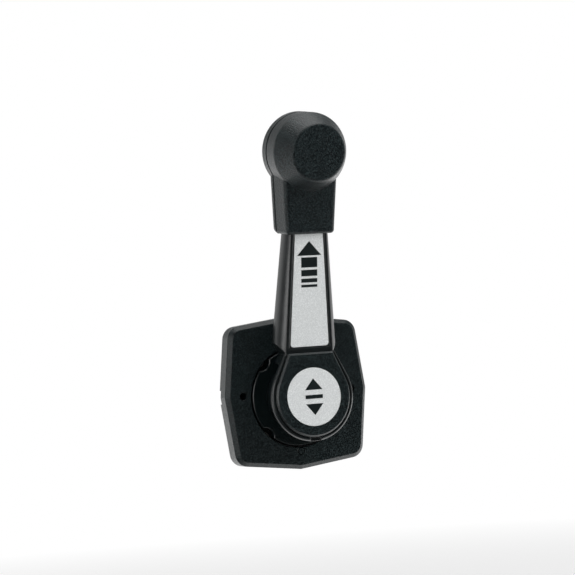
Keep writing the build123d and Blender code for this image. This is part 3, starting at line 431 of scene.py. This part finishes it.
def ring_of_places(radius, depth, angles, turns, facing):
    """Places on a circle round the shaft, each with its own turn of the cross recess."""
    return [
        Matrix.Translation((radius * math.cos(angle), depth, hub_z + radius * math.sin(angle)))
        @ facing @ Matrix.Rotation(turn, 4, "Z")
        for angle, turn in zip(map(math.radians, angles), turns)
    ]


hub_z = -3.0 * mm
facing_back = Matrix.Rotation(-math.pi / 2, 4, "X")
case_circle_r, case_screw_r, case_head_r, case_head = 25.4 * mm, 1.5 * mm, 3.0 * mm, 2.0 * mm
case_point = 0.5 * mm
case_front, case_back = (corner[1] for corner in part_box("case_screws"))
case_screw = recessed_screw(case_head_r, case_head, case_screw_r,
                            case_back - case_head - case_front - case_point)
screw_set("case_screws", case_screw, ring_of_places(
    case_circle_r, case_back - case_head, (40, 220, -40, 140), (0.3, 1.1, 0.7, 0.1), facing_back,
), "base")

# Shafts, bolts, nuts, rods, springs, arms and clips: turned, wound or pressed steel, all
# with the same bright zinc plate.
dress(plated, "main_shaft", "shift_shaft", "hub_bolt", "hub_washer", "lock_rod", "rod_pin",
      "detent_ball", "detent_spring", "detent_plug", "friction_screw", "throttle_arm",
      "throttle_arm_nut", "throttle_clip", "shift_arm", "shift_arm_nut", "shift_clip")

# Gears and detent wheel: cut from steel bar and left unplated and darker, since their
# flanks run in grease.
gear_steel = finish("gear_steel", cast, dark=(0.20, 0.20, 0.21), light=(0.36, 0.36, 0.37), rough=(0.3, 0.42),
                    lift=0.008, metallic=1.0, edge=0.1, Pits=1500.0)
dress(gear_steel, "drive_gear", "shift_gear", "detent_wheel")

# Bushes: sintered bronze sleeves with a collar, pressed into the flange's sleeve and into
# the rear cover for the two shafts to turn in.
bush_bronze = finish("bush_bronze", cast, dark=(0.36, 0.20, 0.09), light=(0.52, 0.33, 0.16),
                     rough=(0.35, 0.5), lift=0.01, metallic=1.0, edge=0.1)
dress(bush_bronze, "front_bush", "rear_bush", "shift_rear_bush")

# Swivels: turned brass pins with a cross hole for the cable's end, held in the arms by
# their clips.
swivel_brass = finish("swivel_brass", cast, dark=(0.52, 0.37, 0.13), light=(0.68, 0.52, 0.22),
                      rough=(0.24, 0.38), lift=0.008, metallic=1.0, edge=0.15)
dress(swivel_brass, "throttle_swivel", "shift_swivel")

# Friction pad: a plug of brown brake lining. The friction screw presses it towards the
# detent wheel's rim, so that the lever stays where it is put.
brake_lining = finish("brake_lining", cast, dark=(0.04, 0.028, 0.024), light=(0.10, 0.07, 0.055),
                      rough=(0.8, 0.95), lift=0.06, Pits=1200.0)
dress(brake_lining, "friction_pad")

# Trim cover: the square escutcheon, moulded hollow in black plastic with a fine sparked
# grain and fitted over the base.
cover_plastic = finish("cover_plastic", grain, dark=(0.0006, 0.0034, 0.0043), light=(0.0118, 0.0215, 0.0228),
                       rough=(0.36, 0.5), lift=0.2, edge=0.8, Grain=1250.0, Share=0.95)
dress(cover_plastic, "trim_cover")

# Screw-hole plugs: knock-out discs in the cover's upper and lower screw hole, nearly level
# with its face, each standing on a thin web that leaves a dark groove round it.
cover_face = 12.4 * mm
plug_web, plug_below, plug_rise = 0.4 * mm, 0.3 * mm, 1.4 * mm
plug_groove, plug_taper = 0.5 * mm, 0.03 * mm
plug = hole_disc(plug_web, cover_face - plug_below - plug_rise, plug_groove, plug_taper, plug_rise)
cover_plugs = join_as("cover_plugs", set_out(plug, (top_hole, bottom_hole)))
cover_plugs.data.materials.append(cover_plastic)
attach(cover_plugs, "base")

# Bearing flange: a round plate with a sleeve for the shaft, turned on the lathe, milled
# with half-round pockets in its rim and painted black.
flange_paint = finish("flange_paint", grain, dark=(0.0008, 0.0032, 0.0036), light=(0.0022, 0.0062, 0.0066),
                      rough=(0.3, 0.42), lift=0.02, edge=0.4)
dress(flange_paint, "bearing_flange")

# Flange screws: four plated pan heads with a cross recess, at the bottom of the flange's
# pockets, driven into the base.
flange_circle_r, flange_screw_r, flange_head_r, flange_head = 35.4 * mm, 2.0 * mm, 3.6 * mm, 2.2 * mm
flange_seat, flange_tip, flange_point = 7.2 * mm, 1.0 * mm, 0.7 * mm
flange_screw = recessed_screw(flange_head_r, flange_head, flange_screw_r,
                              flange_seat - flange_tip - flange_point)
screw_set("flange_screws", flange_screw, ring_of_places(
    flange_circle_r, -flange_seat, (45, 135, 225, 315), (0.2, 0.9, 1.3, 0.5), facing_out,
), "base")

# Lever arm: a light alloy casting in one with the hub, under smooth satin black paint that
# softens its edges.
arm_paint = finish("arm_paint", grain, dark=(0.0008, 0.0030, 0.0036), light=(0.0036, 0.0082, 0.0090),
                   rough=(0.3, 0.38), lift=0.004, edge=1.6, specular=1.0, Grain=1400.0)
dress(arm_paint, "lever_arm")

# Hub cover: a keyhole plate moulded in black plastic with a bevelled edge, pressed into
# the hub's face over its bolt.
hub_cover_plastic = finish("hub_cover_plastic", grain, dark=(0.0, 0.0018, 0.0026),
                           light=(0.0135, 0.0245, 0.0260), rough=(0.28, 0.4), lift=0.24, edge=0.4,
                           specular=0.8, Grain=1250.0, Share=0.92)
dress(hub_cover_plastic, "hub_cover")

# Label and disc: thin aluminium sheet with an even, fine blasted face, stuck into the
# arm's pocket and the hub cover's recess.
label_skin = finish("label_aluminium", grain, dark=(0.57, 0.59, 0.59), light=(0.72, 0.74, 0.74),
                    rough=(0.42, 0.55), lift=0.006, metallic=0.25, edge=0.1, Grain=1500.0, Share=0.95)
dress(label_skin, "arm_label", "emblem_disc")

# The arrow printed on the label: a head over four bars that shrink away below it. It shows
# which way the grip lifts out of neutral.
lean = math.radians(8.5)
arm_root = Vector((0, -32.4 * mm, hub_z))
print_low, print_high = -0.05 * mm, 0.06 * mm
head_low, head_high, head_half = 93.2 * mm, 102.6 * mm, 8.6 * mm
bar_half = 5.7 * mm
bar_ends = [(85.4 * mm, 92.0 * mm), (79.7 * mm, 83.8 * mm), (75.5 * mm, 78.1 * mm), (72.4 * mm, 74.1 * mm)]


def printed_patch(half_low, half_high, low, high):
    """A thin patch of ink: a square sheet pulled to its outline and given its thickness."""
    bpy.ops.object.select_all(action="DESELECT")
    bpy.ops.mesh.primitive_plane_add(size=2, location=(0, 0, 0))
    patch = bpy.context.object
    bpy.ops.object.mode_set(mode="EDIT")
    sheet = bmesh.from_edit_mesh(patch.data)
    for corner in sheet.verts:
        half, end = (half_high, high) if corner.co.y > 0 else (half_low, low)
        corner.co = (math.copysign(half, corner.co.x), end, print_low)
    bmesh.update_edit_mesh(patch.data)
    bpy.ops.mesh.select_all(action="SELECT")
    bpy.ops.mesh.remove_doubles(threshold=0.001 * mm)
    bpy.ops.mesh.extrude_region_move(TRANSFORM_OT_translate={"value": (0, 0, print_high - print_low)})
    bpy.ops.mesh.select_all(action="SELECT")
    bpy.ops.mesh.normals_make_consistent(inside=False)
    bpy.ops.object.mode_set(mode="OBJECT")
    return patch


arm_place = Matrix.Translation(arm_root) @ Matrix.Rotation(math.pi / 2 + lean, 4, "X")
patches = [printed_patch(head_half, 0.0, head_low, head_high)]
patches += [printed_patch(bar_half, bar_half, low, high) for low, high in bar_ends]
arrow = join_as("arm_arrow", patches)
set_in_place(arrow, arm_place)
ink = finish("black_ink", grain, dark=(0.003, 0.0075, 0.008), light=(0.006, 0.012, 0.0125), rough=(0.4, 0.55),
             lift=0.004, edge=0.03, Grain=2600.0)
arrow.data.materials.append(ink)
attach(arrow, "lever")

# The mark printed on the disc: two plain arrowheads and a bar, for ahead, neutral and
# astern, in the same ink.
disc_front = 39.0 * mm
mark_half, mark_foot, mark_tip = 6.2 * mm, 4.6 * mm, 12.0 * mm
neutral_half, neutral_thick = 6.2 * mm, 1.25 * mm
patches = [
    printed_patch(mark_half, 0.0, mark_foot, mark_tip),
    printed_patch(0.0, mark_half, -mark_tip, -mark_foot),
    printed_patch(neutral_half, neutral_half, -neutral_thick, neutral_thick),
]
disc_mark = join_as("disc_mark", patches)
set_in_place(disc_mark, Matrix.Translation((0, -disc_front, hub_z)) @ facing_out)
disc_mark.data.materials.append(ink)
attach(disc_mark, "lever")

# Grip: a knob and its sleeve-like neck, moulded as two shells in soft black plastic with a
# coarser grain and screwed together round the arm.
grip_plastic = finish("grip_plastic", grain, dark=(0.0, 0.0022, 0.0032), light=(0.0155, 0.0265, 0.0280),
                      rough=(0.34, 0.46), lift=0.42, edge=0.7, specular=0.44, Grain=1250.0, Share=0.96)
dress(grip_plastic, "grip_front_shell", "grip_rear_shell")

# Parting seam: painted shade for the narrow joint between the two shells, where their rounded
# lips meet: a thin near-black band cut from the front shell's lip, standing just proud of it.
parting, seam_wide, seam_proud = 9.5 * mm, 0.6 * mm, 0.05 * mm
out_of_arm = Vector((0, -math.cos(lean), -math.sin(lean)))


def merged_copy(node, name):
    """A free copy of a node's shape, its triangles joined, left active and selected."""
    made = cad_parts[node].copy()
    made.data = made.data.copy()
    made.parent = None
    made.matrix_world = Matrix.Identity(4)
    made.name = made.data.name = name
    made.data.materials.clear()
    bpy.context.collection.objects.link(made)
    bpy.ops.object.select_all(action="DESELECT")
    made.select_set(True)
    bpy.context.view_layer.objects.active = made
    bpy.ops.object.mode_set(mode="EDIT")
    bpy.ops.mesh.select_all(action="SELECT")
    bpy.ops.mesh.remove_doubles(threshold=0.002 * mm)
    bpy.ops.object.mode_set(mode="OBJECT")
    return made


seam_shade_band = merged_copy("grip_front_shell", "grip_seam_shade")
bpy.ops.object.mode_set(mode="EDIT")
bpy.ops.mesh.select_all(action="SELECT")
bpy.ops.mesh.bisect(plane_co=arm_root - out_of_arm * (parting - seam_wide), plane_no=out_of_arm,
                    clear_outer=True, use_fill=True)
bpy.ops.mesh.select_all(action="SELECT")
bpy.ops.transform.shrink_fatten(value=seam_proud)
bpy.ops.object.mode_set(mode="OBJECT")
# Painted shade: black and barely reflecting, so that the band reads as the shadow inside the seam.
seam_shadow = finish("seam_shadow", grain, dark=(0.0, 0.0, 0.0), light=(0.0015, 0.002, 0.002),
                     rough=(0.9, 1.0), lift=0.01, edge=0.02, specular=0.05)
seam_shade_band.data.materials.append(seam_shadow)
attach(seam_shade_band, "grip")

# Grip spring: steel wire wound round the lock rod. On the control its foot stands on the rod's collar
# and rises with the grip, while its top bears on the arm, so it shortens when the grip is lifted; here the
# coils are a fixed, smooth-shaded copy of the CAD spring.
coils = merged_copy("grip_spring", "grip_spring_coils")
bpy.ops.object.shade_smooth_by_angle(angle=math.radians(50))
coils.data.materials.append(plated)
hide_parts("grip_spring")
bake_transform(coils)

# Grip screws: three small plated pan heads with a cross recess, sunk in the rear shell's
# counterbores and driven into the front shell's columns.
grip_head_r, grip_head, grip_screw_r, grip_shank = 2.65 * mm, 1.75 * mm, 1.5 * mm, 14.0 * mm
grip_back = 18.0 * mm
turned_over = Matrix.Rotation(math.pi, 4, "X")
screw_set("grip_screws", recessed_screw(grip_head_r, grip_head, grip_screw_r, grip_shank), [
    arm_place @ Matrix.Translation((across, along, grip_head - grip_back)) @ turned_over
    @ Matrix.Rotation(turn, 4, "Z")
    for across, along, turn in ((0, 149 * mm, 0.4), (-11 * mm, 170 * mm, 1.0), (11 * mm, 170 * mm, 0.1))
], "grip")
